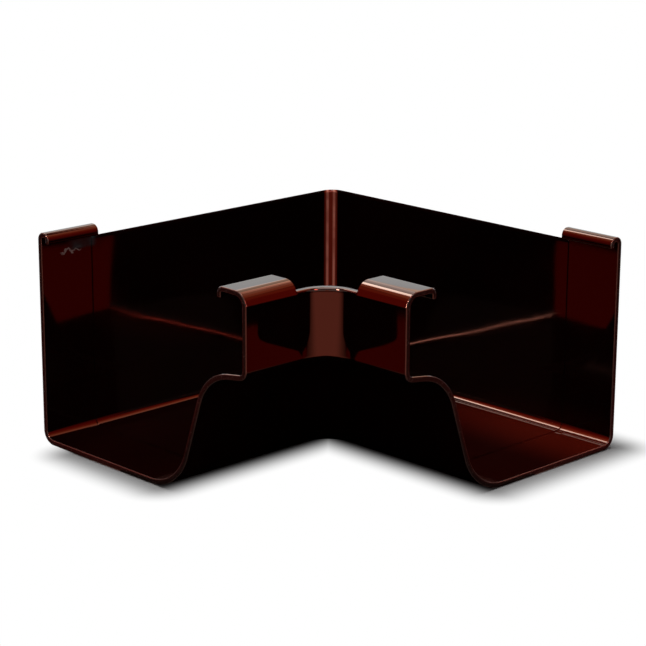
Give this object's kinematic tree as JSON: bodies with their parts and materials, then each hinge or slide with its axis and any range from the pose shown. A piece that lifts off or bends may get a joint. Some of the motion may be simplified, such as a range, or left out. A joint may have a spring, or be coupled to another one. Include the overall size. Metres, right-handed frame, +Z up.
{
  "type": "internal gutter corner",
  "caption": "Moulded ogee gutter corner that turns a run of gutter through a right angle at an inside corner, with an open socket, a front clip and a back hook on each arm.",
  "frame": {"origin": "where the two fascia planes that the back lies against meet, at the height of the underside of the floor", "axes": "+Z up; one arm runs along +X with its back on the plane y = 0, the other runs along -Y with its back on the plane x = 0; the ogee front faces +X and -Y"},
  "size_m": [0.169, 0.169, 0.0908],
  "materials": {
    "brown_plastic": "high gloss, dark red-brown, coloured through"
  },
  "bodies": {
    "root": {"gutter_corner": "brown_plastic"}
  },
  "joints": []
}
